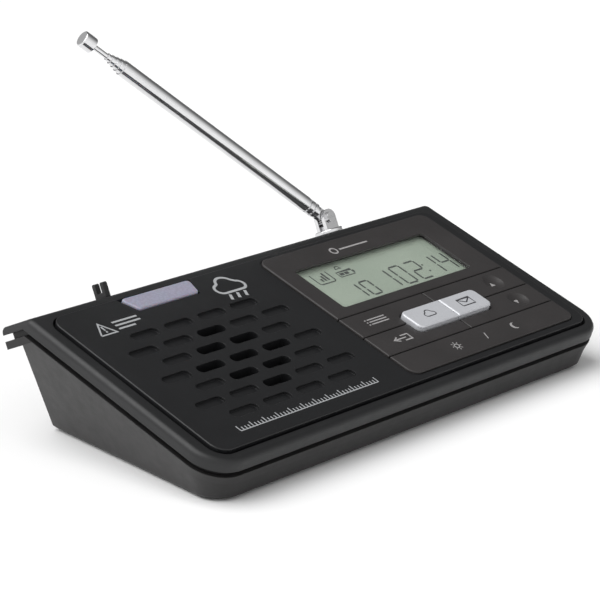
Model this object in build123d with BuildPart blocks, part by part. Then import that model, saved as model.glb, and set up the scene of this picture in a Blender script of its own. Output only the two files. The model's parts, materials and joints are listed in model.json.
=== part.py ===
"""Desktop emergency radio, in millimetres.

+X runs to the right of the user, +Y to the rear and +Z up. The origin is on the table, under the
middle of the housing. The control face slopes down to the front. Places on it are given as
(u, v, h): u along +X, v up the slope and h out of the face, all from face_origin.
"""
import os
from math import cos, radians, sin, tan

from build123d import *

# Housing
half_width = 81.5
face_tilt = 19.74
face_y, face_height = 9.0, 29.5
face_front, crest_v = -52.1, 18.8
front_radius = 9.5
edge_rounding, crest_rounding = 1.7, 2.4
upper_lip, groove, lower_lip = 3.5, 1.5, 2.4
side_lean = 2.1
front_foot_y, rear_foot_y = -36.2, 35.6
shell_bottom, shell_floor = 0.6, 2.8
wall = 2.4
base_chamfer = 0.9

# Rear deck: two fins with a gap between them, behind the crest
deck_slope = 23.5
deck_depth = 11.2
upper_fin, fin_gap, lower_fin = 2.05, 1.7, 2.1
web_inset, web_wall = 1.8, 1.7
rear_wall_back = 8.5

# Speaker panel
panel_half, panel_front, panel_rear = 76.75, -48.2, 16.0
panel_top, panel_bed, panel_gap = 0.8, -2.2, 0.8
slot_pitch, slot_row, slot_rows = 12.5, 6.2, 7
slot_length, slot_width, slot_depth = 9.8, 3.2, 0.8
first_slot_u = -57.25
speaker_u, speaker_v = -38.45, -18.6
sound_radius, speaker_radius, magnet_radius = 16.5, 19.5, 8.6
light_emitters = (-43.9, -39.2, -34.5)
light_front = (-50.25, -28.0, 9.3)
light_rear = (-52.65, -26.5, 15.1)
light_hole = (-48.7, -29.7, 10.6, 14.2)

# Display module and keys
module_left, module_right = 0.0, 72.75
module_front, module_rear = -46.0, 14.25
module_top = 1.4
row_1, row_2, row_3 = -17.5, -27.2, -36.8
divider_u = 35.5
key_gap, key_thickness, key_edge = 0.4, 2.0, 0.35
silver_left, silver_split, silver_right = 18.75, 35.35, 50.65
silver_front, silver_rear, silver_top = -31.9, -23.5, 2.7
arrow_u = 62.75
dimple_radius, dimple_depth = 3.4, 1.15
stem_bottom, dome_top = -3.6, -4.6
keypad_top, keypad_bottom, board_bottom = -5.4, -6.4, -7.6
opening_left, opening_right, opening_rear = 3.6, 68.6, 8.0
board_left, board_right, board_rear = 1.6, 71.1, 6.6
keypad_left, keypad_right = 4.8, 67.8
board_standoffs = [(2.8, -41.5), (2.8, 5.2), (69.8, -41.5), (69.8, 5.2)]
window_left, window_right = 6.5, 62.75
window_front, window_rear = -13.8, 6.0
lens_top, lens_bottom = 0.7, -0.3
glass_top, glass_bottom, light_bottom = -0.4, -1.6, -5.4
glass_ledge, connector_width = 2.2, 1.4

# Antenna
pivot_x, pivot_back, pivot_height = 41.2, 5.0, 4.5
antenna_raise = 42.3
tube_outer = (4.6, 4.0, 3.4, 2.8, 2.2)
tube_wall, tube_step = 0.25, 1.4
first_tube_start, first_tube_end = 8.4, 81.6
rod_diameter, rod_end = 1.6, 92.4
cap_length, cap_diameter = 4.0, 4.7
clip_x, clip_thickness, clip_width, clip_height = -50.2, 1.6, 4.4, 4.2
clip_slot, clip_slot_bottom, clip_rounding = 2.0, 1.4, 0.55
ear_gap, ear_thickness, ear_radius = 1.8, 1.2, 2.5
swivel_radius, collar_radius, spigot_radius = 2.0, 2.7, 1.5
tongue_radius, pin_radius, screw_head_radius = 2.2, 0.8, 1.6

# Power, boards and fasteners
cell_radius, cell_length, cell_left, cell_z = 5.25, 44.5, 1.6, 8.6
cell_rows = (24.4, 13.2, 2.0)
door_left, door_right, door_front, door_rear, door_top = -4.0, 51.0, -5.2, 30.8, 2.4
door_clearance = 0.25
jack_z, jack_mouth, power_x, aerial_x = 12.0, 33.4, -40.0, -22.0
power_radius, power_length, aerial_radius, aerial_length = 4.5, 12.5, 3.4, 14.0
plug_bore, plug_depth = 1.8, 12.0
spring_rings = ((-1.7, 3.8), (-0.4, 3.0), (0.9, 2.2))
contact_half, contact_top = 4.5, 3.2
door_grips = 5
screw_spots = [(-60.5, 19.5), (62.0, 20.8), (-66.0, -20.0), (-3.0, -31.0)]
pillar_foot, pillar_radius, screw_radius, screw_top = 8.0, 2.6, 1.1, 12.2
foot_spots = [(-56.5, 28.5), (56.5, 28.5), (-60.0, -28.5), (60.0, -28.5)]
foot_radius = 4.5
board_posts = [(-54, -18), (-54, 22), (-12, -18), (-12, 22)]
board_foot, board_face = 4.0, 5.2
capacitors = ((-50, -14, 2.0, 2.4), (-50, 4, 2.0, 2.4), (-44, 16, 3.0, 3.6), (-16, -14, 2.5, 3.0))
slider_travel, slider_width = 13.8, 3.2

DARK = Color(0.05, 0.05, 0.055)
WARM = Color(0.1, 0.095, 0.095)
SILVER = Color(0.72, 0.73, 0.76)
CHROME = Color(0.8, 0.8, 0.82)
GREEN = Color(0.1, 0.35, 0.18)
WHITE = Color(0.85, 0.85, 0.85)

tilt, deck_tilt = radians(face_tilt), radians(deck_slope)
turn = tilt + deck_tilt
across = Vector(1, 0, 0)
face_normal = Vector(0, -sin(tilt), cos(tilt))
face_slope = Vector(0, cos(tilt), sin(tilt))
deck_normal = Vector(0, sin(deck_tilt), cos(deck_tilt))
deck_back = Vector(0, cos(deck_tilt), -sin(deck_tilt))
face_axis = Axis((0, 0, 0), face_normal)
total_lip = upper_lip + groove
lower_fin_top = upper_fin + fin_gap
lower_fin_bottom = lower_fin_top + lower_fin


def face_point(u, v, h=0.0):
    return Vector(0, face_y, face_height) + across * u + face_slope * v + face_normal * h


def face(h=0.0, u=0.0, v=0.0):
    return Plane(origin=face_point(u, v, h), x_dir=across, z_dir=face_normal)


def deck_point(x, back, height=0.0):
    return face_point(x, crest_v) + deck_back * back + deck_normal * height


def deck(height=0.0, x=0.0, back=0.0):
    return Plane(origin=deck_point(x, back, height), x_dir=across, z_dir=deck_normal)


# The side view, with v to the right and h up
side = Plane(origin=face_point(0, 0), x_dir=face_slope, z_dir=across)


def on_deck(back, drop):
    """Side-view point `back` behind the crest and `drop` below the deck's surface."""
    v = crest_v + back * cos(turn) - drop * sin(turn)
    return (v, -back * sin(turn) - drop * cos(turn))


def bend(face_drop, deck_drop):
    """Side-view point where a line below the face meets a line below the deck."""
    return on_deck((face_drop - deck_drop * cos(turn)) / sin(turn), deck_drop)


def side_view(y, z):
    """Side-view point of the world point (y, z)."""
    dy, dz = y - face_y, z - face_height
    return (dy * cos(tilt) + dz * sin(tilt), dz * cos(tilt) - dy * sin(tilt))


def wall_x(y, z):
    """Half width of the outer side wall, a plane that hangs from the groove and leans in."""
    edge = face_point(0, 0, -total_lip)
    return half_width + ((z - edge.Z) - tan(tilt) * (y - edge.Y)) / side_lean


def rear_wall_v(h):
    """Rear wall in the side view, straight from the underside of the deck to the foot."""
    top, foot = on_deck(rear_wall_back, lower_fin_bottom), side_view(rear_foot_y, 0)
    return top[0] + (foot[0] - top[0]) * (h - top[1]) / (foot[1] - top[1])


def save(builder, name, colour=DARK):
    builder.part.label = name
    builder.part.color = colour
    export_step(builder.part, f"parts/{name}.step")


def block(u0, u1, v0, v1, h0, h1, radius=0.0, mode=Mode.ADD):
    """Block on the face between two corners and two heights, with rounded corners if wanted."""
    with BuildSketch(face(h0, (u0 + u1) / 2, (v0 + v1) / 2)) as plan:
        if radius:
            RectangleRounded(u1 - u0, v1 - v0, radius)
        else:
            Rectangle(u1 - u0, v1 - v0)
    extrude(plan.sketch, amount=h1 - h0, mode=mode)


def disc(plane, radius, amount, inner=0.0, mode=Mode.ADD):
    """Cylinder or ring that stands on a plane."""
    with BuildSketch(plane) as plan:
        Circle(radius)
        if inner:
            Circle(inner, mode=Mode.SUBTRACT)
    extrude(plan.sketch, amount=amount, mode=mode)


def floor_plane(x, y, z):
    return Plane(origin=(x, y, z), x_dir=across, z_dir=(0, 0, 1))


def box(x0, x1, y0, y1, z0, z1, mode=Mode.ADD):
    """Upright block between world limits."""
    with BuildSketch(floor_plane((x0 + x1) / 2, (y0 + y1) / 2, z0)) as plan:
        Rectangle(x1 - x0, y1 - y0)
    extrude(plan.sketch, amount=z1 - z0, mode=mode)


def side_prism(points, half_length, mode=Mode.ADD):
    """Prism of a side-view outline, symmetric across the housing."""
    with BuildSketch(side) as plan:
        with BuildLine():
            Polyline(*points, close=True)
        make_face()
    extrude(plan.sketch, amount=half_length, both=True, mode=mode)


def ring_of_wall(plane, front_half, rear_half, front, rear, front_round, rear_round):
    """Horizontal section of the tub: a trapezoid with rounded corners."""
    with BuildSketch(plane) as plan:
        with BuildLine():
            Polyline((-front_half, front), (front_half, front), (rear_half, rear),
                     (-rear_half, rear), close=True)
        make_face()
        fillet(plan.vertices().sort_by(Axis.Y)[:2], front_round)
        fillet(plan.vertices().sort_by(Axis.Y)[-2:], rear_round)
    return plan.sketch.faces()[0]


def slot_centres(open_slots):
    """Speaker slots in brick order: those over the speaker, or those that stay blind."""
    centres = []
    for row in range(slot_rows):
        shift, count = (slot_pitch / 2, 5) if row % 2 else (0, 4)
        for column in range(count):
            u, v = first_slot_u - shift + column * slot_pitch, -row * slot_row
            inside = (u - speaker_u) ** 2 + (v - speaker_v) ** 2 < (sound_radius - 1) ** 2
            if inside == open_slots:
                centres.append((u, v))
    return centres


def light_outline(grow, rear_extra=0.0):
    """Corners of the alert light, widened by `grow` all round."""
    left_f, right_f, v_front = light_front
    left_r, right_r, v_rear = light_rear
    splay = (left_f - left_r) / (v_rear - v_front) * rear_extra + grow
    return [(left_f - grow, v_front - grow), (right_f + grow, v_front - grow),
            (right_r + splay, v_rear + rear_extra), (left_r - splay, v_rear + rear_extra)]


os.makedirs("parts", exist_ok=True)

# ------------------------------------------------------------------ housing
with BuildPart() as top_frame:
    for x, y in screw_spots:
        disc(floor_plane(x, y, pillar_foot), pillar_radius, 40)
    split(bisect_by=face(panel_bed - 0.8), keep=Keep.BOTTOM)
    side_prism([(face_front, 0), (crest_v, 0), on_deck(deck_depth, 0), on_deck(deck_depth, upper_fin),
                bend(upper_lip, upper_fin), (face_front, -upper_lip)], half_width)
    corners = [e for e in top_frame.edges().filter_by(face_axis) if abs(e.length - upper_lip) < 0.01]
    fillet(ShapeList(corners).sort_by(Axis.Y)[:2], front_radius)
    crest = [e for e in top_frame.edges() if (e @ 0.5 - face_point(0, crest_v)).length < 0.01]
    fillet(crest, crest_rounding)
    plate = top_frame.faces().filter_by(face_axis).sort_by(face_axis)[-1]
    rim = [e for e in plate.edges() if (e @ 0.5).Y < face_point(0, crest_v - 3).Y]
    fillet(rim, edge_rounding)
    block(-panel_half - panel_gap, panel_half + panel_gap, panel_front - panel_gap,
          panel_rear + 0.4, panel_bed, 4, 5.0, Mode.SUBTRACT)
    block(opening_left, opening_right, module_front + 1.3, opening_rear, -8, 0, 2.0, Mode.SUBTRACT)
    block(*light_hole, -8, 0, 1.0, Mode.SUBTRACT)
    disc(face(-8, speaker_u, speaker_v), sound_radius, 8, mode=Mode.SUBTRACT)
    disc(deck(-4, pivot_x, pivot_back), swivel_radius + 0.05, 8, mode=Mode.SUBTRACT)
    disc(deck(-4, pivot_x, pivot_back), collar_radius + 0.2, 4 - upper_fin, mode=Mode.SUBTRACT)
    for x, y in screw_spots:
        disc(floor_plane(x, y, pillar_foot), screw_radius, screw_top - pillar_foot, mode=Mode.SUBTRACT)
    for u, v in board_standoffs:
        block(u - 1.2, u + 1.2, v - 1.2, v + 1.2, keypad_bottom, panel_bed - 0.8)
save(top_frame, "top_frame")

with BuildPart() as lower_shell:
    lip_bottom = -total_lip - lower_lip
    lip_half = wall_x(face_point(0, 0, lip_bottom).Y, face_point(0, 0, lip_bottom).Z)
    loft([
        ring_of_wall(face(-total_lip), half_width, half_width, face_front, 18.0, front_radius, 1.0),
        ring_of_wall(face(lip_bottom), lip_half, lip_half, face_front, rear_wall_v(lip_bottom),
                     front_radius, 1.0)], ruled=True)
    heel_z = shell_bottom + base_chamfer
    heel = ring_of_wall(floor_plane(0, 0, heel_z), wall_x(front_foot_y, heel_z),
                        wall_x(rear_foot_y, heel_z), front_foot_y - 0.4, rear_foot_y - 0.3, 7.0, 1.0)
    loft([
        ring_of_wall(face(lip_bottom), lip_half, lip_half, face_front, rear_wall_v(lip_bottom),
                     front_radius, 1.0), heel], ruled=True)
    sole = ring_of_wall(floor_plane(0, 0, shell_bottom), wall_x(front_foot_y, heel_z) - base_chamfer,
                        wall_x(rear_foot_y, heel_z) - base_chamfer, front_foot_y + base_chamfer,
                        rear_foot_y - 0.3 - base_chamfer, 6.2, 1.0)
    loft([heel, sole], ruled=True)
    side_prism([bend(total_lip, lower_fin_bottom), bend(total_lip, lower_fin_top),
                on_deck(deck_depth, lower_fin_top), on_deck(deck_depth, lower_fin_bottom)], half_width)
    web_half, web_front = half_width - web_inset, face_front + web_inset
    extrude(ring_of_wall(face(-total_lip), web_half, web_half, web_front, 15.0,
                         front_radius - web_inset, 0.5), amount=groove)
    side_prism([(10, -upper_lip), bend(upper_lip, upper_fin),
                on_deck(deck_depth - web_inset, upper_fin),
                on_deck(deck_depth - web_inset, lower_fin_top),
                bend(total_lip, lower_fin_top), (10, -total_lip)], web_half)
    inner_half = half_width - web_inset - web_wall
    inner_front = face_front + web_inset + web_wall
    inner_lip = lip_half - wall
    loft([
        ring_of_wall(face(-upper_lip + 0.5), inner_half, inner_half, inner_front, 15.0, 7.0, 1.0),
        ring_of_wall(face(lip_bottom), inner_lip, inner_lip, inner_front, 15.8, 7.0, 1.0)],
        ruled=True, mode=Mode.SUBTRACT)
    loft([
        ring_of_wall(face(lip_bottom), inner_lip, inner_lip, inner_front, 15.8, 7.0, 1.0),
        ring_of_wall(floor_plane(0, 0, shell_floor), wall_x(front_foot_y, shell_floor) - wall,
                     wall_x(rear_foot_y, shell_floor) - wall, front_foot_y + 1.8,
                     rear_foot_y - 3.1, 5.0, 1.0)], ruled=True, mode=Mode.SUBTRACT)
    # swivel bore, closed below
    disc(deck(-3.15, pivot_x, pivot_back), collar_radius + 0.2, 4, mode=Mode.SUBTRACT)
    disc(deck(-5.3, pivot_x, pivot_back), spigot_radius + 0.05, 4, mode=Mode.SUBTRACT)
    # battery opening with its ribs
    box(door_left, door_right, door_front, door_rear, 0, shell_floor + 0.4, Mode.SUBTRACT)
    for x in (door_left + 0.4, 47.3):
        box(x, x + 1.2, door_front - 1.6, rear_foot_y - 3.0, shell_floor, 12.0)
    # jacks in the rear wall
    for x, radius in ((power_x, power_radius), (aerial_x, aerial_radius)):
        disc(Plane(origin=(x, 24, jack_z), x_dir=across, z_dir=(0, 1, 0)), radius + 0.05, 20,
             mode=Mode.SUBTRACT)
    # bosses, screw seats, foot pockets and board posts
    for x, y in screw_spots:
        disc(floor_plane(x, y, shell_floor - 0.6), pillar_radius, pillar_foot - shell_floor + 0.6)
        disc(floor_plane(x, y, 0), 2.9, 2.0, mode=Mode.SUBTRACT)
        disc(floor_plane(x, y, 0), screw_radius + 0.3, pillar_foot + 1, mode=Mode.SUBTRACT)
    for x, y in foot_spots:
        disc(floor_plane(x, y, 0), foot_radius + 0.1, 1.4, mode=Mode.SUBTRACT)
    for x, y in board_posts:
        disc(floor_plane(x, y, shell_floor - 0.4), 1.6, 1.6)
    # slot of the volume slider in the right wall
    slider_spot = Vector(wall_x(8, 14), 8, 14)
    wall_out = Vector(side_lean, tan(tilt), -1).normalized()
    slider_plane = Plane(origin=slider_spot, x_dir=face_slope, z_dir=wall_out)
    with BuildSketch(slider_plane.offset(-4)) as slot:
        RectangleRounded(slider_travel, slider_width, 0.6)
    extrude(slot.sketch, amount=8, mode=Mode.SUBTRACT)
save(lower_shell, "lower_shell")

with BuildPart() as volume_slider:
    with BuildSketch(slider_plane.offset(-2.5)) as stem:
        RectangleRounded(5.0, 2.6, 0.5)
    extrude(stem.sketch, amount=3.5)
    with BuildSketch(slider_plane.offset(-3.4)) as flange:
        RectangleRounded(8.0, 5.4, 0.5)
    extrude(flange.sketch, amount=0.9)
    for i in range(3):
        with BuildSketch(Plane(origin=slider_plane.origin + slider_plane.x_dir * (i - 1) * 1.3
                               + wall_out * 1.0, x_dir=face_slope, z_dir=wall_out)) as rib:
            Rectangle(0.5, 2.2)
        extrude(rib.sketch, amount=0.3)
save(volume_slider, "volume_slider")

# ------------------------------------------------------------------ speaker panel and speaker
with BuildPart() as speaker_panel:
    block(-panel_half, panel_half, panel_front, panel_rear, panel_bed, panel_top, 4.4)
    edges = speaker_panel.faces().filter_by(face_axis).sort_by(face_axis)[-1].edges()
    fillet(edges, 0.35)
    block(module_left - 0.3, module_right + 0.3, module_front - 0.3, module_rear + 0.3,
          -4, 4, 3.6, Mode.SUBTRACT)
    with BuildSketch(face(-4)) as window:
        with BuildLine():
            Polyline(*light_outline(0.35, 4), close=True)
        make_face()
    extrude(window.sketch, amount=8, mode=Mode.SUBTRACT)
    for centres, depth in ((slot_centres(True), 4.0), (slot_centres(False), slot_depth)):
        for u, v in centres:
            with BuildSketch(face(panel_top - depth, u, v)) as slot:
                SlotOverall(slot_length, slot_width)
            extrude(slot.sketch, amount=depth + 1, mode=Mode.SUBTRACT)
save(speaker_panel, "speaker_panel")

speaker_view = Plane(origin=face_point(speaker_u, speaker_v), x_dir=across, z_dir=-face_slope)
speaker_axis = Axis(face_point(speaker_u, speaker_v), face_normal)


def turned(points):
    """Solid of revolution about the speaker's axis, from (radius, h) points."""
    with BuildSketch(speaker_view) as plan:
        with BuildLine():
            Polyline(*points, close=True)
        make_face()
    revolve(plan.sketch, axis=speaker_axis)


with BuildPart() as speaker_gasket:
    disc(face(-upper_lip, speaker_u, speaker_v), speaker_radius, -0.6, sound_radius + 0.8)
save(speaker_gasket, "speaker_gasket")

with BuildPart() as speaker_basket:
    turned([(17.6, -4.1), (19.5, -4.1), (19.5, -5.1), (16.4, -5.1), (9.4, -10.6), (9.4, -11.2),
            (5.2, -11.2), (5.2, -10.4), (8.9, -10.4), (16.0, -4.6), (17.6, -4.6)])
save(speaker_basket, "speaker_basket", SILVER)

with BuildPart() as speaker_cone:
    turned([(0, -8.0), (3.0, -8.3), (5.0, -9.0), (14.0, -4.9), (15.2, -4.15), (16.4, -4.15),
            (16.8, -4.4), (15.4, -4.5), (14.2, -5.3), (5.0, -9.6), (3.0, -8.7), (0, -8.4)])
save(speaker_cone, "speaker_cone", WARM)

with BuildPart() as speaker_magnet:
    disc(face(-14.4, speaker_u, speaker_v), magnet_radius, 3.2)
save(speaker_magnet, "speaker_magnet", SILVER)

# ------------------------------------------------------------------ alert light
with BuildPart() as alert_light_lens:
    with BuildSketch(face(panel_bed)) as plan:
        with BuildLine():
            Polyline(*light_outline(0), close=True)
        make_face()
        fillet(plan.vertices(), 1.1)
    extrude(plan.sketch, amount=3.5)
    fillet(alert_light_lens.faces().filter_by(face_axis).sort_by(face_axis)[-1].edges(), 0.5)
save(alert_light_lens, "alert_light_lens", WHITE)

with BuildPart() as alert_led_board:
    left, right, front, rear = light_hole
    block(left - 0.8, right + 0.8, front - 1.6, rear, -6.0, -5.0)
    for u in light_emitters:
        block(u - 1.5, u + 1.5, front + 0.4, rear - 0.6, -5.0, -4.2)
save(alert_led_board, "alert_led_board", GREEN)

# ------------------------------------------------------------------ display
with BuildPart() as display_bezel:
    block(module_left, module_right, row_1 + key_gap / 2, module_rear, panel_bed, module_top)
    rear_corners = display_bezel.edges().filter_by(face_axis).sort_by(Axis.Y)[-2:]
    fillet(rear_corners, 3.2)
    fillet(display_bezel.faces().filter_by(face_axis).sort_by(face_axis)[-1].edges(), 0.45)
    block(window_left, window_right, window_front, window_rear, -4, 4, 1.0, Mode.SUBTRACT)
    block(window_left - 1.2, window_right + 1.2, window_front - 1.2, window_rear + 1.2,
          -4, lens_top, 1.0, Mode.SUBTRACT)
    block(window_left - 1.2, window_right + 1.2, window_front - glass_ledge - 0.1,
          window_rear + 1.2, -4, lens_bottom, 0.5, Mode.SUBTRACT)
save(display_bezel, "display_bezel", WARM)

with BuildPart() as display_window:
    block(window_left - 1.1, window_right + 1.1, window_front - 1.1, window_rear + 1.1,
          lens_bottom, lens_top, 0.9)
save(display_window, "display_window", WHITE)

with BuildPart() as lcd_glass:
    block(window_left - 1.0, window_right + 1.0, window_front - glass_ledge, window_rear + 1.0,
          glass_bottom, glass_top)
save(lcd_glass, "lcd_glass", Color(0.56, 0.62, 0.56))

with BuildPart() as lcd_backlight:
    block(window_left - 0.5, window_right + 0.5, window_front - 0.4, window_rear + 0.5,
          light_bottom, glass_bottom)
save(lcd_backlight, "lcd_backlight", WHITE)

with BuildPart() as lcd_connector:
    block(window_left + 3, window_right - 3, window_front - glass_ledge + 0.1,
          window_front - glass_ledge + 0.1 + connector_width, keypad_bottom, glass_bottom)
save(lcd_connector, "lcd_connector", Color(0.85, 0.5, 0.6))

# ------------------------------------------------------------------ keys
key_stems = {
    "menu_key": [(11.6, -21.5)], "up_key": [(61.6, -22.4)],
    "exit_key": [(11.6, -32.6)], "down_key": [(61.6, -32.1)],
    "weather_key": [(27.0, -27.7)], "message_key": [(43.0, -27.7)],
    "light_key": [(16.6, -41.4), (55.6, -41.4)],
}
half_gap = key_gap / 2
key_boxes = {
    "menu_key": (module_left, divider_u - half_gap, row_2 + half_gap, row_1 - half_gap),
    "up_key": (divider_u + half_gap, module_right, row_2 + half_gap, row_1 - half_gap),
    "exit_key": (module_left, divider_u - half_gap, row_3 + half_gap, row_2 - half_gap),
    "down_key": (divider_u + half_gap, module_right, row_3 + half_gap, row_2 - half_gap),
    "light_key": (module_left, module_right, module_front, row_3 - half_gap),
}


def key_stem(name, bottom=stem_bottom):
    for u, v in key_stems[name]:
        block(u - 2.5, u + 2.5, v - 1.6, v + 1.6, bottom, module_top - key_thickness + 0.2)


for name, (u0, u1, v0, v1) in key_boxes.items():
    with BuildPart() as key:
        block(u0, u1, v0, v1, module_top - key_thickness, module_top)
        if name == "light_key":
            fillet(key.edges().filter_by(face_axis).sort_by(Axis.Y)[:2], 3.2)
        else:
            block(silver_left - key_gap, silver_right + key_gap, silver_front - key_gap,
                  silver_rear + key_gap, -4, 4, 2.2, Mode.SUBTRACT)
        fillet(key.faces().filter_by(face_axis).sort_by(face_axis)[-1].edges(), key_edge)
        if name in ("up_key", "down_key"):
            ball = (dimple_radius ** 2 + dimple_depth ** 2) / (2 * dimple_depth)
            spot = key_stems[name][0][1]
            with Locations(face_point(arrow_u, spot, module_top + ball - dimple_depth)):
                Sphere(ball, mode=Mode.SUBTRACT)
        key_stem(name)
    save(key, name, WARM)

for name, u0, u1 in (("weather_key", silver_left, silver_split - 0.15),
                     ("message_key", silver_split + 0.15, silver_right)):
    with BuildPart() as key:
        block(u0, u1, silver_front, silver_rear, module_top - key_thickness, silver_top)
        outer = key.edges().filter_by(face_axis).sort_by(Axis.X)
        fillet(outer[:2] if name == "weather_key" else outer[-2:], 1.8)
        fillet(key.faces().filter_by(face_axis).sort_by(face_axis)[-1].edges(), 0.5)
        key_stem(name)
    save(key, name, SILVER)

with BuildPart() as rubber_keypad:
    block(keypad_left, keypad_right, module_front + 1.6, row_1 - 0.8, keypad_bottom, keypad_top, 1.5)
    for stems in key_stems.values():
        for u, v in stems:
            disc(face(keypad_top, u, v), 2.8, dome_top - keypad_top)
save(rubber_keypad, "rubber_keypad", SILVER)

with BuildPart() as key_board:
    block(board_left, board_right, module_front + 1.0, board_rear, board_bottom, keypad_bottom)
save(key_board, "key_board", GREEN)

# ------------------------------------------------------------------ main board
with BuildPart() as main_board:
    box(-56, -8, -20, 25, board_foot, board_face)
    for x, y, r, h in capacitors:
        disc(floor_plane(x, y, board_face), r, h)
    box(-34, -26, 6, 14, board_face, board_face + 1.2)
save(main_board, "main_board", GREEN)

with BuildPart() as tuner_shield:
    box(-24, -10, 4, 18, board_face, 9.0)
    fillet(tuner_shield.edges().filter_by(Axis.Z), 0.6)
save(tuner_shield, "tuner_shield", SILVER)

# ------------------------------------------------------------------ power
with BuildPart() as battery_cells:
    for y in cell_rows:
        end = Plane(origin=(cell_left, y, cell_z), x_dir=(0, 1, 0), z_dir=(1, 0, 0))
        disc(end, cell_radius, cell_length - 0.8)
        disc(end.offset(cell_length - 0.8), 1.9, 0.8)
save(battery_cells, "battery_cells", SILVER)

with BuildPart() as battery_springs:
    for y in cell_rows:
        for x, r in spring_rings:
            with Locations(Location((x, y, cell_z), (0, 90, 0))):
                Torus(r, 0.35)
    for y in cell_rows:
        box(-2.4, -2.1, y - contact_half, y + contact_half, cell_z - contact_half, cell_z + contact_top)
save(battery_springs, "battery_springs", SILVER)

with BuildPart() as battery_plates:
    for y in cell_rows:
        box(46.3, 46.8, y - contact_half, y + contact_half, cell_z - contact_half, cell_z + contact_top)
save(battery_plates, "battery_plates", SILVER)

with BuildPart() as battery_door:
    box(door_left + door_clearance, door_right - door_clearance, door_front + door_clearance,
        door_rear - door_clearance, shell_bottom, door_top)
    for x in (10.0, 33.0):
        box(x, x + 5, door_front + door_clearance, door_front + 1.4, door_top, 3.9)
        box(x, x + 5, door_front - 1.6, door_front + 1.4, 3.1, 3.9)
    for i in range(door_grips):
        groove_y = door_rear - 4 - 1.6 * i
        box(14, 33, groove_y, groove_y + 0.8, 0, shell_bottom + 0.4, Mode.SUBTRACT)
save(battery_door, "battery_door")

with BuildPart() as dc_jack:
    mouth = Plane(origin=(power_x, jack_mouth, jack_z), x_dir=across, z_dir=(0, -1, 0))
    disc(mouth, power_radius, power_length)
    disc(mouth, 2.75, 9.5, mode=Mode.SUBTRACT)
    disc(mouth.offset(1.0), 0.95, 9.0)
save(dc_jack, "dc_jack")

with BuildPart() as antenna_jack:
    mouth = Plane(origin=(aerial_x, jack_mouth, jack_z), x_dir=across, z_dir=(0, -1, 0))
    disc(mouth, aerial_radius, aerial_length)
    disc(mouth, plug_bore, plug_depth, mode=Mode.SUBTRACT)
save(antenna_jack, "antenna_jack")

# ------------------------------------------------------------------ fasteners and feet
with BuildPart() as housing_screws:
    for x, y in screw_spots:
        disc(floor_plane(x, y, 0.9), 2.6, 1.1)
        disc(floor_plane(x, y, 2.0), screw_radius, screw_top - 2.3)
        disc(floor_plane(x, y, 0.9), 0.8, 0.7, mode=Mode.SUBTRACT)
save(housing_screws, "housing_screws", SILVER)

with BuildPart() as rubber_feet:
    for x, y in foot_spots:
        disc(floor_plane(x, y, 0), foot_radius, 1.4)
    fillet(rubber_feet.edges().group_by(Axis.Z)[0], 0.25)
save(rubber_feet, "rubber_feet")

# ------------------------------------------------------------------ antenna
pivot = deck_point(pivot_x, pivot_back, pivot_height)
along = across * -cos(radians(antenna_raise)) + deck_normal * sin(radians(antenna_raise))


def mast(distance):
    """Plane across the antenna, this far from its pivot."""
    return Plane(origin=pivot + along * distance, x_dir=deck_back, z_dir=along)


with BuildPart() as antenna_clip:
    fork = Plane(origin=deck_point(clip_x, pivot_back), x_dir=deck_back, z_dir=across)
    with BuildSketch(fork) as plan:
        with Locations((0, clip_height / 2)):
            Rectangle(clip_width, clip_height)
        with Locations((0, clip_slot_bottom + clip_height / 2)):
            Rectangle(clip_slot, clip_height, mode=Mode.SUBTRACT)
        tops = plan.vertices().group_by(Axis.Y)[-1]
        fillet(tops, clip_rounding)
    extrude(plan.sketch, amount=clip_thickness / 2, both=True)
save(antenna_clip, "antenna_clip")

with BuildPart() as antenna_swivel:
    disc(deck(0.1, pivot_x, pivot_back), 4.2, 1.0)
    fillet(antenna_swivel.edges().sort_by(Axis((0, 0, 0), deck_normal))[-1], 0.4)
    for start in (ear_gap / 2, -ear_gap / 2 - ear_thickness):
        cheek = Plane(origin=pivot + deck_back * start, x_dir=-across, z_dir=deck_back)
        with BuildSketch(cheek) as plan:
            Circle(ear_radius)
            with Locations((0, -(pivot_height - 0.8) / 2)):
                Rectangle(2 * ear_radius, pivot_height - 0.8)
            Circle(pin_radius, mode=Mode.SUBTRACT)
        extrude(plan.sketch, amount=ear_thickness)
    disc(deck(-2.2, pivot_x, pivot_back), swivel_radius, 2.4)
    disc(deck(-3.0, pivot_x, pivot_back), collar_radius, 0.8)
    disc(deck(-5.1, pivot_x, pivot_back), spigot_radius, 2.2)
save(antenna_swivel, "antenna_swivel", CHROME)

with BuildPart() as pivot_screw:
    reach = ear_gap / 2 + ear_thickness
    screw_end = Plane(origin=pivot - deck_back * reach, x_dir=across, z_dir=deck_back)
    disc(screw_end, pin_radius, 2 * reach + 0.5)
    disc(screw_end, screw_head_radius, -0.7)
    with BuildSketch(screw_end.offset(-0.7)) as slot:
        Rectangle(3.4, 0.4)
    extrude(slot.sketch, amount=0.35, mode=Mode.SUBTRACT)
save(pivot_screw, "pivot_screw", CHROME)

with BuildPart() as antenna_knuckle:
    tongue = Plane(origin=pivot - deck_back * 0.75, x_dir=along, z_dir=deck_back)
    with BuildSketch(tongue) as plan:
        Circle(tongue_radius)
        with Locations((2.75, 0)):
            Rectangle(5.5, 3.6)
        Circle(pin_radius + 0.06, mode=Mode.SUBTRACT)
    extrude(plan.sketch, amount=1.5)
    for start, end, radius in ((3.6, 4.6, 1.9), (4.6, 5.6, 2.2), (5.6, 6.1, 1.8), (6.1, 7.4, 2.2),
                               (7.4, 7.9, 1.8), (7.9, 8.4, 2.2)):
        disc(mast(start), radius, end - start)
    disc(mast(first_tube_start), tube_outer[0] / 2 - tube_wall, 2.0)
save(antenna_knuckle, "antenna_knuckle", CHROME)

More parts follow.
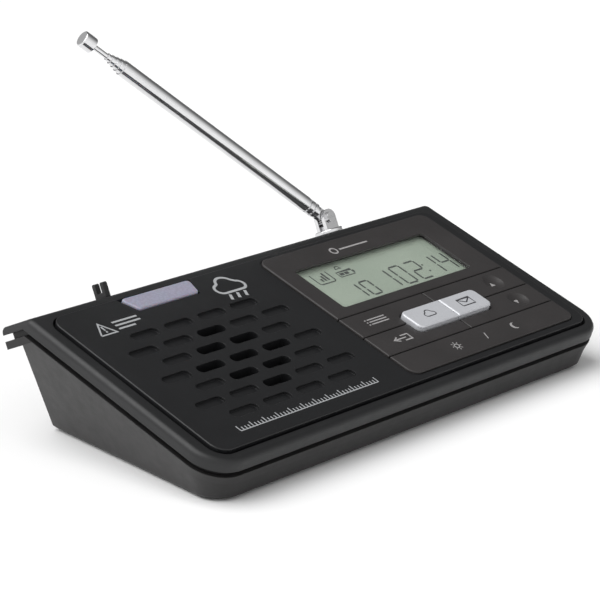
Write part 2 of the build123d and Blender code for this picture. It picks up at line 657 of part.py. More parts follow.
tip = first_tube_end
for number, outer in enumerate(tube_outer, start=1):
    with BuildPart() as tube:
        start = first_tube_start if number == 1 else 10.5 + number
        disc(mast(start), outer / 2, tip - start, outer / 2 - tube_wall)
        fillet(tube.edges().filter_by(GeomType.CIRCLE).sort_by(Axis(pivot, along))[-1], 0.08)
    save(tube, f"antenna_tube_{number}", CHROME)
    tip += tube_step

with BuildPart() as antenna_rod:
    disc(mast(17.0), rod_diameter / 2, rod_end - 17.0)
save(antenna_rod, "antenna_rod", CHROME)

with BuildPart() as antenna_cap:
    disc(mast(rod_end), cap_diameter / 2, cap_length)
    fillet(antenna_cap.edges().filter_by(GeomType.CIRCLE), 0.4)
save(antenna_cap, "antenna_cap", CHROME)
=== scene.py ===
"""Looks of the desktop emergency radio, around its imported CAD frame. Lengths are in metres."""
import json
from math import cos, pi, radians, sin

import bmesh
import bpy
from mathutils import Matrix, Vector


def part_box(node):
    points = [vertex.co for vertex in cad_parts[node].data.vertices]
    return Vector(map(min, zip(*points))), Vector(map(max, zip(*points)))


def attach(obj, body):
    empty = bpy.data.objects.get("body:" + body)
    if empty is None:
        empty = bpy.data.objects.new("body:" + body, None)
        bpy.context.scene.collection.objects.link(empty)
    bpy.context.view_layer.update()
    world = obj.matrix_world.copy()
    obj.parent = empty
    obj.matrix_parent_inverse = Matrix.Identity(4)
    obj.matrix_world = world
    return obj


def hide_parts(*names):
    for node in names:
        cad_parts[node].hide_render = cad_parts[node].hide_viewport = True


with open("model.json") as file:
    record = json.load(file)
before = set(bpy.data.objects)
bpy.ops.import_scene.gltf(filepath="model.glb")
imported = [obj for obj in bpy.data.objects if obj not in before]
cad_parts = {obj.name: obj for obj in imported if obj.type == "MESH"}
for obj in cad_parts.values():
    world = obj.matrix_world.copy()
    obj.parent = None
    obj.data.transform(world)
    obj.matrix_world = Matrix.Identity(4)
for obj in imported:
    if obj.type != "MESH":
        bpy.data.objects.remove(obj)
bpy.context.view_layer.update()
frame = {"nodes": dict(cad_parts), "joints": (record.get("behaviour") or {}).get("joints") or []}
nodes = frame["nodes"]

MM = 0.001
INK_HEIGHT, INK_GAP, SEGMENT_GAP = 0.03 * MM, 0.002 * MM, 0.02 * MM
SHARP_ANGLE = radians(35)

# Camera and light
CAMERA_SPOT = Vector((-498.1, -435.2, 223.7)) * MM
CAMERA_RIGHT, CAMERA_UP = Vector((0.66443, -0.74733, 0.00610)), Vector((0.20740, 0.19223, 0.95919))
FOCAL_LENGTH, SENSOR_WIDTH = 151.88, 36
SUN_DIRECTION, SUN_STRENGTH, SUN_ANGLE = (-0.45, 0.25, 0.85), 2.2, 60
SKY_BRIGHT, SKY_DIM, DIM_SIDE = 0.95, 0.16, (0.72, 0.31, 0.61)
FLOOR_HALF = 5.0

# The control face: u to the right, v up the slope, h out of the face
ACROSS = Vector((1, 0, 0))
press = next(j for j in frame["joints"] if j["name"] == "menu_press")
OUT = -Vector(press["axis"]).normalized()
SLOPE = OUT.cross(ACROSS)
FACE = Matrix((ACROSS, SLOPE, OUT)).transposed().to_4x4()


def spans(name):
    """Lowest and highest (u, v, h) of a CAD node."""
    to_face = FACE.inverted()
    points = [to_face @ v.co for v in nodes[name].data.vertices]
    low = Vector(min(p[i] for p in points) for i in range(3))
    high = Vector(max(p[i] for p in points) for i in range(3))
    return low, high


# ------------------------------------------------------------------ node materials
def link(tree, source, target):
    tree.links.new(source, target)


def principled(name, colour, roughness, metallic=0.0, specular=0.5, **extra):
    """A material with one Principled shader, and its tree and shader."""
    made = bpy.data.materials.new(name)
    made.use_nodes = True
    tree = made.node_tree
    shader = tree.nodes["Principled BSDF"]
    shader.inputs["Base Color"].default_value = (*colour, 1)
    shader.inputs["Roughness"].default_value = roughness
    shader.inputs["Metallic"].default_value = metallic
    shader.inputs["Specular IOR Level"].default_value = specular
    for key, value in extra.items():
        shader.inputs[key.replace("_", " ")].default_value = value
    made.diffuse_color = (*colour, 1)
    return made, tree, shader


def place(tree):
    """Coordinates fixed to the piece, in metres."""
    return tree.nodes.new("ShaderNodeTexCoord").outputs["Object"]


def noise(tree, size, detail=2.0, stretch=None):
    """Noise whose grains are about `size` metres across, drawn out along an axis if wanted."""
    texture = tree.nodes.new("ShaderNodeTexNoise")
    texture.inputs["Scale"].default_value = 1.0 / size
    texture.inputs["Detail"].default_value = detail
    if stretch:
        mapping = tree.nodes.new("ShaderNodeMapping")
        mapping.inputs["Scale"].default_value = stretch
        link(tree, place(tree), mapping.inputs["Vector"])
        link(tree, mapping.outputs["Vector"], texture.inputs["Vector"])
    else:
        link(tree, place(tree), texture.inputs["Vector"])
    return texture.outputs["Fac"]


def ramp(tree, factor, low, high, start=0.3, end=0.7):
    """Number that goes from `low` to `high` as factor goes from start to end."""
    span = tree.nodes.new("ShaderNodeMapRange")
    span.inputs["From Min"].default_value = start
    span.inputs["From Max"].default_value = end
    span.inputs["To Min"].default_value = low
    span.inputs["To Max"].default_value = high
    link(tree, factor, span.inputs["Value"])
    return span.outputs["Result"]


def blend_colours(tree, factor, first, second):
    mix = tree.nodes.new("ShaderNodeMix")
    mix.data_type = "RGBA"
    link(tree, factor, mix.inputs["Factor"])
    mix.inputs["A"].default_value = (*first, 1)
    mix.inputs["B"].default_value = (*second, 1)
    return mix.outputs["Result"]


def grain(tree, shader, height, distance, edge=0.0):
    """Bump from a height, over edges softened by a small radius."""
    bump = tree.nodes.new("ShaderNodeBump")
    bump.inputs["Distance"].default_value = distance
    bump.inputs["Strength"].default_value = 1.0
    link(tree, height, bump.inputs["Height"])
    if edge:
        soft = tree.nodes.new("ShaderNodeBevel")
        soft.samples = 4
        soft.inputs["Radius"].default_value = edge
        link(tree, soft.outputs["Normal"], bump.inputs["Normal"])
    link(tree, bump.outputs["Normal"], shader.inputs["Normal"])


def moulded(name, colour, roughness, specular, texture_size, texture_depth, edge=0.25 * MM):
    """Moulded plastic with a spark-eroded grain, faint mottling and softened edges."""
    made, tree, shader = principled(name, colour, roughness, specular=specular)
    cloudy = ramp(tree, noise(tree, 14 * MM, 3), 0.0, 1.0)
    darker = [c * 0.9 for c in colour]
    lighter = [c * 1.12 for c in colour]
    link(tree, blend_colours(tree, cloudy, darker, lighter), shader.inputs["Base Color"])
    fine = noise(tree, texture_size, 3)
    rough = ramp(tree, noise(tree, 3 * MM, 4), roughness - 0.035, roughness + 0.035)
    link(tree, rough, shader.inputs["Roughness"])
    grain(tree, shader, fine, texture_depth, edge)
    return made


def plated(name, colour, roughness, streaks=0.05, texture_size=0.5 * MM):
    """Plated or bare metal with faint polishing marks."""
    made, tree, shader = principled(name, colour, roughness, metallic=1.0)
    marks = noise(tree, texture_size, 4)
    link(tree, ramp(tree, marks, roughness * 0.7, roughness + streaks), shader.inputs["Roughness"])
    tone = ramp(tree, noise(tree, 9 * MM, 3), 0.0, 1.0)
    duller = [c * 0.88 for c in colour]
    link(tree, blend_colours(tree, tone, duller, colour), shader.inputs["Base Color"])
    grain(tree, shader, noise(tree, 0.9 * MM, 2), 0.0015 * MM, 0.08 * MM)
    return made


def silver_paint():
    """Metallic paint: fine flakes in a clear satin coat."""
    made, tree, shader = principled("silver_paint", (0.6, 0.61, 0.64), 0.36, metallic=0.25,
                                    Coat_Weight=0.25, Coat_Roughness=0.25)
    flakes = tree.nodes.new("ShaderNodeTexVoronoi")
    flakes.inputs["Scale"].default_value = 1.0 / (0.12 * MM)
    link(tree, place(tree), flakes.inputs["Vector"])
    glint = ramp(tree, flakes.outputs["Distance"], 0.0, 1.0, 0.1, 0.6)
    tones = blend_colours(tree, glint, (0.68, 0.69, 0.72), (0.56, 0.57, 0.60))
    link(tree, tones, shader.inputs["Base Color"])
    grain(tree, shader, noise(tree, 0.2 * MM, 2), 0.004 * MM, 0.3 * MM)
    return made


def window_glass():
    """Clear lens: mirror where it glances, see-through elsewhere."""
    made, tree, shader = principled("window_acrylic", (1, 1, 1), 0.03, metallic=1.0)
    glance = tree.nodes.new("ShaderNodeLayerWeight")
    glance.inputs["Blend"].default_value = 0.5
    smudge = ramp(tree, noise(tree, 6 * MM, 4), 0.02, 0.07)
    link(tree, smudge, shader.inputs["Roughness"])
    link(tree, ramp(tree, glance.outputs["Facing"], 0.02, 0.4, 0.35, 1.0), shader.inputs["Alpha"])
    return made


def lcd_reflector():
    """Grey-green reflective layer of the display, with a faint grain and random patches of slightly
    lighter tone.
    """
    made, tree, shader = principled("lcd_reflector", (0.38, 0.45, 0.37), 0.45)
    patches = ramp(tree, noise(tree, 22 * MM, 2), 0.0, 1.0)
    tones = blend_colours(tree, patches, (0.36, 0.43, 0.35), (0.41, 0.48, 0.395))
    link(tree, tones, shader.inputs["Base Color"])
    grain(tree, shader, noise(tree, 0.15 * MM, 2), 0.004 * MM)
    return made


def lavender_lens():
    """Milky diffuser of the alert light, cast with a fine pebble underneath."""
    made, tree, shader = principled("alert_diffuser", (0.33, 0.33, 0.42), 0.32,
                                    Subsurface_Weight=0.5, Subsurface_Scale=0.8 * MM,
                                    Coat_Weight=0.2, Coat_Roughness=0.12)
    cells = tree.nodes.new("ShaderNodeTexVoronoi")
    cells.inputs["Scale"].default_value = 1.0 / (0.7 * MM)
    link(tree, place(tree), cells.inputs["Vector"])
    pebbles = ramp(tree, cells.outputs["Distance"], 0.0, 1.0, 0.0, 0.7)
    tones = blend_colours(tree, pebbles, (0.36, 0.355, 0.455), (0.295, 0.29, 0.37))
    link(tree, tones, shader.inputs["Base Color"])
    grain(tree, shader, cells.outputs["Distance"], 0.012 * MM, 0.3 * MM)
    return made


def board_resist():
    """Green solder resist with copper tracks under it."""
    made, tree, shader = principled("solder_resist", (0.02, 0.12, 0.05), 0.3)
    tracks = tree.nodes.new("ShaderNodeTexBrick")
    tracks.inputs["Scale"].default_value = 1.0 / (6 * MM)
    tracks.inputs["Mortar Size"].default_value = 0.05
    tracks.inputs["Color1"].default_value = (0.015, 0.10, 0.04, 1)
    tracks.inputs["Color2"].default_value = (0.02, 0.13, 0.05, 1)
    tracks.inputs["Mortar"].default_value = (0.06, 0.24, 0.09, 1)
    link(tree, place(tree), tracks.inputs["Vector"])
    link(tree, tracks.outputs["Color"], shader.inputs["Base Color"])
    grain(tree, shader, tracks.outputs["Fac"], 0.03 * MM)
    return made


def paper():
    """Pressed dark paper of the speaker cone."""
    made, tree, shader = principled("cone_paper", (0.02, 0.02, 0.021), 0.85)
    fibres = noise(tree, 0.5 * MM, 6)
    link(tree, blend_colours(tree, fibres, (0.012, 0.012, 0.013), (0.04, 0.04, 0.04)),
         shader.inputs["Base Color"])
    grain(tree, shader, fibres, 0.05 * MM)
    return made


def cell_sleeve():
    """Shrink sleeve of the cells: plain blue with a grey band at one end."""
    made, tree, shader = principled("cell_sleeve", (0.02, 0.06, 0.2), 0.35, Coat_Weight=0.5)
    axes = tree.nodes.new("ShaderNodeSeparateXYZ")
    link(tree, place(tree), axes.inputs["Vector"])
    band = ramp(tree, axes.outputs["X"], 0.0, 1.0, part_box("battery_cells")[0].x + 9 * MM,
                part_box("battery_cells")[0].x + 9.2 * MM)
    link(tree, blend_colours(tree, band, (0.42, 0.42, 0.43), (0.02, 0.06, 0.2)),
         shader.inputs["Base Color"])
    grain(tree, shader, noise(tree, 1.5 * MM, 3), 0.02 * MM, 0.2 * MM)
    return made


def ink(name, colour):
    """Pad-printed ink, slightly uneven."""
    made, tree, shader = principled(name, colour, 0.55)
    uneven = noise(tree, 0.35 * MM, 3)
    thin = [c * 0.82 for c in colour]
    link(tree, blend_colours(tree, ramp(tree, uneven, 0, 1), thin, colour), shader.inputs["Base Color"])
    grain(tree, shader, uneven, 0.006 * MM)
    return made


materials = {
    "frame_plastic": moulded("frame_abs", (0.0125, 0.0128, 0.0135), 0.44, 0.42, 0.28 * MM, 0.014 * MM,
                             0.35 * MM),
    "shell_plastic": moulded("shell_abs", (0.0140, 0.0134, 0.0136), 0.50, 0.42, 0.35 * MM, 0.022 * MM,
                             0.35 * MM),
    "panel_plastic": moulded("panel_abs", (0.010, 0.0103, 0.0112), 0.36, 0.40, 0.22 * MM, 0.007 * MM,
                             0.22 * MM),
    "module_plastic": moulded("module_abs", (0.031, 0.0285, 0.0285), 0.44, 0.38, 0.25 * MM, 0.009 * MM,
                              0.2 * MM),
    "silver_plastic": silver_paint(),
    "clear_window": window_glass(),
    "lcd": lcd_reflector(),
    "light_lens": lavender_lens(),
    "white_plastic": moulded("light_guide", (0.7, 0.7, 0.68), 0.4, 0.5, 0.5 * MM, 0.01 * MM),
    "silicone": moulded("silicone", (0.45, 0.43, 0.42), 0.6, 0.35, 0.3 * MM, 0.01 * MM),
    "rubber": moulded("rubber", (0.012, 0.012, 0.012), 0.75, 0.3, 0.3 * MM, 0.03 * MM),
    "foam": moulded("foam", (0.01, 0.01, 0.01), 0.9, 0.2, 0.6 * MM, 0.15 * MM),
    "circuit_board": board_resist(),
    "chrome": plated("chrome_plate", (0.80, 0.80, 0.81), 0.09),
    "steel": plated("zinc_steel", (0.55, 0.55, 0.54), 0.28, 0.12),
    "magnet": plated("magnet_steel", (0.35, 0.35, 0.36), 0.4, 0.1),
    "paper_cone": paper(),
    "cell_wrap": cell_sleeve(),
}
LIGHT_INK = ink("light_ink", (0.40, 0.41, 0.42))
KEY_INK = ink("key_ink", (0.36, 0.35, 0.35))
DARK_INK = ink("dark_ink", (0.045, 0.045, 0.05))
SEGMENT_INK = ink("segment_black", (0.045, 0.052, 0.05))

for node in nodes.values():
    for spot in node.material_slots:
        spot.material = materials[spot.material.name.split(".")[0]]


# ------------------------------------------------------------------ flat graphics
def mesh_piece(name, mesh, material, body, smooth=True):
    """Finish a mesh as a piece that rides on a body."""
    data = bpy.data.meshes.new(name)
    bmesh.ops.recalc_face_normals(mesh, faces=mesh.faces)
    mesh.to_mesh(data)
    data.materials.append(material)
    piece = bpy.data.objects.new(name, data)
    bpy.context.scene.collection.objects.link(piece)
    if smooth:
        data.shade_smooth()
        data.set_sharp_from_angle(angle=SHARP_ANGLE)
    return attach(piece, body)


def stroke(points, width):
    """Outline of a thick open line through points."""
    sides = ([], [])
    for i, point in enumerate(points):
        before, after = points[max(i - 1, 0)], points[min(i + 1, len(points) - 1)]
        run = (Vector(after) - Vector(before)).normalized()
        normal = Vector((-run.y, run.x)) * width / 2
        if 0 < i < len(points) - 1:
            first = (Vector(point) - Vector(before)).normalized()
            normal /= max(0.3, run.dot(first))
        sides[0].append(Vector(point) + normal)
        sides[1].append(Vector(point) - normal)
    return [(sides[0][i], sides[1][i], sides[1][i + 1], sides[0][i + 1])
            for i in range(len(points) - 1)]


def arc(centre, radius, start, end, steps=16):
    """Points along an arc, with angles in degrees."""
    turns = [radians(start + (end - start) * i / steps) for i in range(steps + 1)]
    return [(centre[0] + radius * cos(a), centre[1] + radius * sin(a)) for a in turns]


def bar(left, right, low, high):
    return [[(left, low), (right, low), (right, high), (left, high)]]


def loop(points, width):
    """Thick closed line."""
    return stroke([*points, points[0]], width)


def flat_piece(name, shapes, height, material, body, centre=(0, 0)):
    """Thin raised graphic on the face: convex outlines in millimetres about a centre."""
    mesh = bmesh.new()
    for outline in shapes:
        low = [FACE @ Vector((centre[0] + x * MM, centre[1] + y * MM, height)) for x, y in outline]
        ends = [[mesh.verts.new(p + OUT * lift) for p in low] for lift in (0.0, INK_HEIGHT)]
        mesh.faces.new(reversed(ends[0]))
        mesh.faces.new(ends[1])
        for i in range(len(low)):
            j = (i + 1) % len(low)
            mesh.faces.new((ends[0][i], ends[0][j], ends[1][j], ends[1][i]))
    return mesh_piece(name, mesh, material, body, smooth=False)


def cloud(size):
    """Outline cloud of three lobes on a flat bottom."""
    lobes = arc((-0.28 * size, -0.03 * size), 0.17 * size, 270, 105, 10)
    lobes += arc((0.0, 0.11 * size), 0.25 * size, 165, 22, 12)
    lobes += arc((0.29 * size, -0.04 * size), 0.16 * size, 78, -90, 10)
    return loop(lobes, 0.07 * size)


def rain(size):
    """Three slanted strokes under a cloud."""
    shapes = []
    for x in (-0.24, 0.0, 0.24):
        shapes += stroke([(x * size, -0.28 * size), ((x - 0.09) * size, -0.46 * size)], 0.075 * size)
    return shapes


def warning_sign(size):
    """Triangle outline with a bar and a dot."""
    corners = [(-0.5 * size, -0.42 * size), (0.5 * size, -0.42 * size), (0, 0.45 * size)]
    shapes = loop(corners, 0.085 * size)
    shapes += bar(-0.045 * size, 0.045 * size, -0.12 * size, 0.2 * size)
    shapes += bar(-0.05 * size, 0.05 * size, -0.28 * size, -0.18 * size)
    return shapes


def sun(size):
    shapes = loop(arc((0, 0), 0.24 * size, 0, 345, 23), 0.1 * size)
    for i in range(8):
        a = i * pi / 4
        shapes += stroke([(0.37 * size * cos(a), 0.37 * size * sin(a)),
                          (0.52 * size * cos(a), 0.52 * size * sin(a))], 0.09 * size)
    return shapes


def moon(size):
    """Crescent as a strip between two arcs."""
    outer = arc((0, 0), 0.42 * size, 60, 300, 20)
    inner = arc((0.2 * size, 0), 0.42 * size * 0.87, 84, 276, 20)
    return [(outer[i], outer[i + 1], inner[i + 1], inner[i]) for i in range(20)]


def envelope(width, height, line):
    half, rise = width / 2, height / 2
    shapes = loop([(-half, -rise), (half, -rise), (half, rise), (-half, rise)], line)
    shapes += stroke([(-half, rise), (0, -0.1 * height), (half, rise)], line)
    return shapes


def list_lines(width, gap, line):
    shapes = []
    for row in (-gap, 0, gap):
        shapes += bar(-width / 2, -width / 2 + line * 1.4, row - line / 2, row + line / 2)
        shapes += bar(-width / 2 + line * 2.6, width / 2, row - line / 2, row + line / 2)
    return shapes


def way_out(width, height, line):
    """Arrow that leaves an open bracket."""
    shapes = stroke([(0.05 * width, height / 2), (width / 2, height / 2), (width / 2, -height / 2),
                     (0.05 * width, -height / 2)], line)
    shapes += bar(-width / 2 + line, 0.25 * width, -line / 2, line / 2)
    shapes += stroke([(-0.22 * width, 0.42 * height), (-width / 2, 0), (-0.22 * width, -0.42 * height)],
                     line)
    return shapes


panel_low, panel_high = spans("speaker_panel")
bezel_low, bezel_high = spans("display_bezel")
lens_low, lens_high = spans("alert_light_lens")


def middle(name):
    low, high = spans(name)
    return (low + high) / 2, high.z


def label(name, shapes, u, v, height, body="housing", material=LIGHT_INK):
    flat_piece(name, shapes, height + INK_GAP, material, body, (u, v))


# Panel graphics, placed from the light bar, the panel and the display module
signs = warning_sign(5.6)
for row, width in ((1.5, 9.0), (0.0, 9.0), (-1.5, 6.0)):
    signs += bar(4.2, 4.2 + width, row - 0.32, row + 0.32)
label("warning_print", signs, panel_low.x + 10.4 * MM, lens_low.y - 3.1 * MM, panel_high.z)
label("weather_print", cloud(12.0) + rain(12.0), bezel_low.x - 17.2 * MM, lens_low.y - 0.9 * MM,
      panel_high.z)
scale = bar(-26.5, 26.5, -1.25, -0.95)
for tick in range(45):
    x = -26.4 + tick * 1.2
    scale += bar(x - 0.16, x + 0.16, -0.95, 1.0 if tick % 4 == 0 else 0.2)
label("scale_print", scale, panel_low.x + 38.3 * MM, panel_low.y + 5.7 * MM, panel_high.z)
emblem = loop(arc((-7.0, 0), 1.25, 0, 345, 23), 0.5) + bar(-4.6, 7.6, -0.3, 0.3)
label("display_print", emblem, bezel_low.x + 34 * MM, bezel_high.y - 4.9 * MM, bezel_high.z,
      material=KEY_INK)

# Key legends
spot, top = middle("menu_key")
label("menu_legend", list_lines(8.2, 1.05, 0.42), spot.x - 7.0 * MM, spot.y, top, "menu_button", KEY_INK)
spot, top = middle("exit_key")
label("exit_legend", way_out(6.4, 2.3, 0.42), spot.x - 7.0 * MM, spot.y, top, "exit_button", KEY_INK)
spot, top = middle("weather_key")
label("weather_legend", cloud(4.8), spot.x, spot.y, top, "weather_button", DARK_INK)
spot, top = middle("message_key")
label("message_legend", envelope(5.4, 3.0, 0.4), spot.x, spot.y, top, "message_button", DARK_INK)
spot, top = middle("light_key")
for name, shapes, offset in (("light_legend", sun(3.4), -13.0), ("slash_legend",
                             stroke([(-0.5, -1.3), (0.5, 1.3)], 0.35), 0.0),
                             ("snooze_legend", moon(3.4), 13.0)):
    label(name, shapes, spot.x + offset * MM, spot.y, top, "light_button", KEY_INK)

# Arrow marks lie in the dimples of the up and down keys
DIMPLE_FROM_RIGHT, DIMPLE_DEPTH = 10.0 * MM, 1.15 * MM
for name, body, sign in (("up_key", "up_button", 1), ("down_key", "down_button", -1)):
    low, high = spans(name)
    mark = [[(-0.95, -0.75 * sign), (0.95, -0.75 * sign), (0, 0.85 * sign)]]
    label(name.replace("key", "mark"), mark, high.x - DIMPLE_FROM_RIGHT, (low.y + high.y) / 2,
          high.z - DIMPLE_DEPTH + 0.06 * MM, body, KEY_INK)

# ------------------------------------------------------------------ display segments
SEGMENTS = {"0": "abcdef", "1": "bc", "2": "abged", "3": "abgcd", "4": "fgbc", "5": "afgcd",
            "6": "afgedc", "7": "abc", "8": "abcdefg", "9": "abcdfg"}


def digit(symbol, left, low, width, height, line):
    """Seven-segment figure."""
    right, high, half = left + width, low + height, low + height / 2
    gap = line * 0.22
    lines = {
        "a": ((left + gap, high), (right - gap, high)), "d": ((left + gap, low), (right - gap, low)),
        "g": ((left + gap, half), (right - gap, half)), "b": ((right, half + gap), (right, high - gap)),
        "c": ((right, low + gap), (right, half - gap)), "e": ((left, low + gap), (left, half - gap)),
        "f": ((left, half + gap), (left, high - gap)),
    }
    shapes = []
    for key in SEGMENTS[symbol]:
        (x0, y0), (x1, y1) = lines[key]
        run = Vector((x1 - x0, y1 - y0)).normalized()
        side = Vector((-run.y, run.x)) * line / 2
        a, b = Vector((x0, y0)), Vector((x1, y1))
        shapes.append([a, a + run * line / 2 - side, b - run * line / 2 - side, b,
                       b - run * line / 2 + side, a + run * line / 2 + side])
    return shapes


glass_low, glass_high = spans("lcd_glass")
# figure, left edge from the glass, width, height
FIGURES = (("1", 13.2, 2.8, 6.6), ("0", 18.0, 3.6, 6.6), ("1", 27.8, 2.8, 8.6), ("0", 33.2, 4.2, 8.6),
           ("2", 40.0, 4.2, 8.6), ("1", 47.0, 3.6, 8.6), ("4", 52.6, 3.8, 8.6))
BASELINE = 5.2
readout = []
for symbol, left, width, height in FIGURES:
    readout += digit(symbol, left, BASELINE, width, height, 0.62)
for dot_height in (2.2, 5.4):
    readout += bar(45.2, 45.8, BASELINE + dot_height, BASELINE + dot_height + 0.6)
bracket = stroke([(6.1, 20.2), (6.1, 15.7), (6.6, 15.2), (12.1, 15.2), (12.6, 15.7), (12.6, 20.2)], 0.36)
bars = [s for i in range(3) for s in bar(8.0 + 1.2 * i, 8.7 + 1.2 * i, 16.3, 17.7 + 1.1 * i)]
battery = loop([(15.4, 15.9), (21.4, 15.9), (21.4, 18.2), (15.4, 18.2)], 0.32)
battery += bar(21.6, 22.1, 16.5, 17.6) + bar(16.0, 17.6, 16.5, 17.6) + bar(18.0, 19.6, 16.5, 17.6)
bell = stroke(arc((17.9, 19.9), 0.9, 0, 180, 10), 0.3) + bar(16.6, 19.2, 19.5, 19.8)
flat_piece("lcd_readout", readout + bracket + bars + battery + bell, glass_high.z + SEGMENT_GAP,
           SEGMENT_INK, "housing", (glass_low.x, glass_low.y))


# ------------------------------------------------------------------ turned and bent metal
def turned(mesh, profile, base, axis, sides=48):
    """Surface of revolution of (radius, height) points about an axis through base."""
    axis = Vector(axis).normalized()
    first = axis.orthogonal().normalized()
    second = axis.cross(first)
    rings = []
    for radius, height in profile:
        if radius == 0:
            rings.append([mesh.verts.new(base + axis * height)])
            continue
        rings.append([mesh.verts.new(base + axis * height + (first * cos(a) + second * sin(a)) * radius)
                      for a in (2 * pi * i / sides for i in range(sides))])
    for low, high in zip(rings, rings[1:]):
        for i in range(sides):
            j = (i + 1) % sides
            if len(low) == 1:
                mesh.faces.new((low[0], high[j], high[i]))
            elif len(high) == 1:
                mesh.faces.new((low[i], low[j], high[0]))
            else:
                mesh.faces.new((low[i], low[j], high[j], high[i]))


def tube(mesh, points, radius, sides=10):
    """Round wire along points, with closed ends."""
    rings = []
    for i, point in enumerate(points):
        run = (points[min(i + 1, len(points) - 1)] - points[max(i - 1, 0)]).normalized()
        first = run.cross(Vector((0.13, 0.37, 0.92))).normalized()
        second = run.cross(first)
        rings.append([mesh.verts.new(point + (first * cos(a) + second * sin(a)) * radius)
                      for a in (2 * pi * k / sides for k in range(sides))])
    for low, high in zip(rings, rings[1:]):
        for i in range(sides):
            j = (i + 1) % sides
            mesh.faces.new((low[i], low[j], high[j], high[i]))
    mesh.faces.new(reversed(rings[0]))
    mesh.faces.new(rings[-1])


def block(mesh, low, high):
    corners = [mesh.verts.new((x, y, z)) for x in (low.x, high.x) for y in (low.y, high.y)
               for z in (low.z, high.z)]
    for face in ((0, 1, 3, 2), (4, 6, 7, 5), (0, 4, 5, 1), (2, 3, 7, 6), (0, 2, 6, 4), (1, 5, 7, 3)):
        mesh.faces.new([corners[i] for i in face])


def contact_springs():
    """Tapered coils on their plates, one for each cell."""
    low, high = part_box("battery_springs")
    cells_low, cells_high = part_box("battery_cells")
    plate, wire, plate_half, plate_rise = 0.3 * MM, 0.35 * MM, 4.5 * MM, 3.2 * MM
    wide, narrowing, turns, steps = 3.9 * MM, 2.2 * MM, 3.5, 28
    mesh = bmesh.new()
    radius = (cells_high.z - cells_low.z) / 2
    pitch = (cells_high.y - cells_low.y - 2 * radius) / 2
    for row in range(3):
        y, z = cells_low.y + radius + row * pitch, cells_low.z + radius
        block(mesh, Vector((low.x, y - plate_half, low.z)),
              Vector((low.x + plate, y + plate_half, z + plate_rise)))
        start, end = low.x + plate + wire, high.x - wire
        points = []
        for i in range(int(turns * steps) + 1):
            share = i / (turns * steps)
            a = 2 * pi * turns * share
            r = wide - narrowing * share
            points.append(Vector((start + (end - start) * share, y + r * cos(a), z + r * sin(a))))
        tube(mesh, points, wire)
    piece = mesh_piece("contact_springs", mesh, materials["steel"], "housing")
    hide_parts("battery_springs")


def cross_screws():
    """Pan-head screws with a cross recess, seen from below."""
    mesh = bmesh.new()
    node = nodes["housing_screws"].data
    low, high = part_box("housing_screws")
    spacing = 8 * MM
    arm, slim, recess, flat_radius, outer = 1.25 * MM, 0.28 * MM, 0.8 * MM, 1.75 * MM, 2.6 * MM
    edge_rise, head, shank = 0.45 * MM, 1.1 * MM, 1.1 * MM
    firsts = []
    for vertex in node.vertices:
        spot = Vector((vertex.co.x, vertex.co.y, 0))
        if all((spot - c).length > spacing for c in firsts):
            firsts.append(spot)
    for first in firsts:
        near = [v.co for v in node.vertices if (Vector((v.co.x, v.co.y, 0)) - first).length < spacing - MM]
        centre = Vector(((min(p.x for p in near) + max(p.x for p in near)) / 2,
                         (min(p.y for p in near) + max(p.y for p in near)) / 2, low.z))
        cross = []
        for quarter in range(4):
            turn = Matrix.Rotation(quarter * pi / 2, 3, "Z")
            for x, y in ((slim, -slim), (arm, -slim), (arm, slim)):
                cross.append(turn @ Vector((x, y, 0)))
        count, up = len(cross), Vector((0, 0, 1))
        rim = [mesh.verts.new(centre + c) for c in cross]
        bottom = [mesh.verts.new(centre + c * 0.55 + up * recess) for c in cross]
        flat = [mesh.verts.new(centre + c.normalized() * flat_radius) for c in cross]
        edge = [mesh.verts.new(centre + c.normalized() * outer + up * edge_rise) for c in cross]
        back = [mesh.verts.new(centre + c.normalized() * outer + up * head) for c in cross]
        for ring_a, ring_b in ((bottom, rim), (rim, flat), (flat, edge), (edge, back)):
            for i in range(count):
                j = (i + 1) % count
                mesh.faces.new((ring_a[i], ring_a[j], ring_b[j], ring_b[i]))
        mesh.faces.new(bottom)
        mesh.faces.new(back)
        turned(mesh, [(0, head), (shank, head), (shank, high.z - low.z - MM), (0, high.z - low.z)],
               centre, up, 20)
    piece = mesh_piece("cross_screws", mesh, materials["steel"], "housing")
    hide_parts("housing_screws")


def rating_plate():
    """Blank foil plate under the housing, with plain bars and no words."""
    shell_low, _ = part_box("lower_shell")
    door_low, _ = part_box("battery_door")
    right, width, depth, corner = door_low.x - 8 * MM, 34 * MM, 20 * MM, 1.5 * MM
    foil, print_depth = 0.05 * MM, 0.07 * MM
    bar_half, bar_pitch, first_bar, margin = 0.35 * MM, 3.2 * MM, 6.4 * MM, 3 * MM
    mesh = bmesh.new()
    outline = []
    for sx, sy, start in ((1, 1, 0), (-1, 1, 90), (-1, -1, 180), (1, -1, 270)):
        centre = (right - width / 2 + sx * (width / 2 - corner), sy * (depth / 2 - corner))
        outline += arc(centre, corner, start, start + 90, 6)
    for z in (shell_low.z - foil, shell_low.z):
        mesh.faces.new([mesh.verts.new((x, y, z)) for x, y in outline])
    mesh.verts.ensure_lookup_table()
    count = len(outline)
    for i in range(count):
        j = (i + 1) % count
        mesh.faces.new([mesh.verts[k] for k in (i, j, count + j, count + i)])
    mesh_piece("rating_plate", mesh, materials["silver_plastic"], "housing", smooth=False)
    lines = bmesh.new()
    left = right - width + margin
    for row, length in enumerate((26, 22, 28, 18, 24)):
        y = first_bar - bar_pitch * row
        block(lines, Vector((left, y - bar_half, shell_low.z - print_depth)),
              Vector((left + length * MM, y + bar_half, shell_low.z - foil)))
    mesh_piece("rating_bars", lines, DARK_INK, "housing", smooth=False)


contact_springs()
cross_screws()
rating_plate()


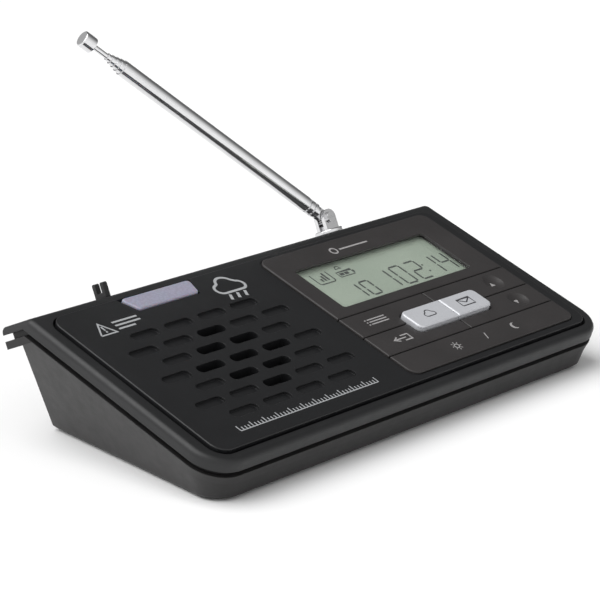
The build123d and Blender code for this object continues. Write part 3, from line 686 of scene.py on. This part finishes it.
# ------------------------------------------------------------------ stage, light and camera
def floor():
    """Plain pale table top."""
    mesh = bmesh.new()
    corners = ((-1, -1), (1, -1), (1, 1), (-1, 1))
    mesh.faces.new([mesh.verts.new((x * FLOOR_HALF, y * FLOOR_HALF, 0)) for x, y in corners])
    data = bpy.data.meshes.new("floor")
    mesh.to_mesh(data)
    made, tree, shader = principled("floor_white", (0.93, 0.93, 0.93), 0.9, specular=0.1)
    tones = blend_colours(tree, ramp(tree, noise(tree, 0.5, 2), 0, 1), (0.925,) * 3, (0.935,) * 3)
    link(tree, tones, shader.inputs["Base Color"])
    data.materials.append(made)
    piece = bpy.data.objects.new("floor", data)
    bpy.context.scene.collection.objects.link(piece)


def studio_world():
    """Even white surroundings, dimmer towards the side that the control face mirrors."""
    world = bpy.data.worlds.new("studio")
    bpy.context.scene.world = world
    world.use_nodes = True
    tree = world.node_tree
    background = tree.nodes["Background"]
    direction = tree.nodes.new("ShaderNodeTexCoord").outputs["Generated"]
    toward = tree.nodes.new("ShaderNodeVectorMath")
    toward.operation = "DOT_PRODUCT"
    toward.inputs[1].default_value = Vector(DIM_SIDE).normalized()
    link(tree, direction, toward.inputs[0])
    strength = ramp(tree, toward.outputs["Value"], SKY_BRIGHT, SKY_DIM, 0.1, 0.85)
    link(tree, strength, background.inputs["Strength"])
    background.inputs["Color"].default_value = (1, 1, 1, 1)


def key_light():
    """Wide sun, as soft as a large diffuser."""
    light = bpy.data.lights.new("key_light", "SUN")
    light.energy = SUN_STRENGTH
    light.angle = radians(SUN_ANGLE)
    lamp = bpy.data.objects.new("key_light", light)
    lamp.rotation_mode = "QUATERNION"
    lamp.rotation_quaternion = Vector(SUN_DIRECTION).to_track_quat("Z", "Y")
    bpy.context.scene.collection.objects.link(lamp)


def camera():
    """Long lens from the front left, a little above the radio."""
    lens = bpy.data.cameras.new("camera")
    lens.lens, lens.sensor_width = FOCAL_LENGTH, SENSOR_WIDTH
    lens.clip_start, lens.clip_end = 0.02, 50
    made = bpy.data.objects.new("camera", lens)
    back = CAMERA_RIGHT.cross(CAMERA_UP)
    turn = Matrix((CAMERA_RIGHT, CAMERA_UP, back)).transposed().to_4x4()
    made.matrix_world = Matrix.Translation(CAMERA_SPOT) @ turn
    bpy.context.scene.collection.objects.link(made)
    bpy.context.scene.camera = made


floor()
studio_world()
key_light()
camera()
bpy.context.scene.view_settings.view_transform = "Standard"
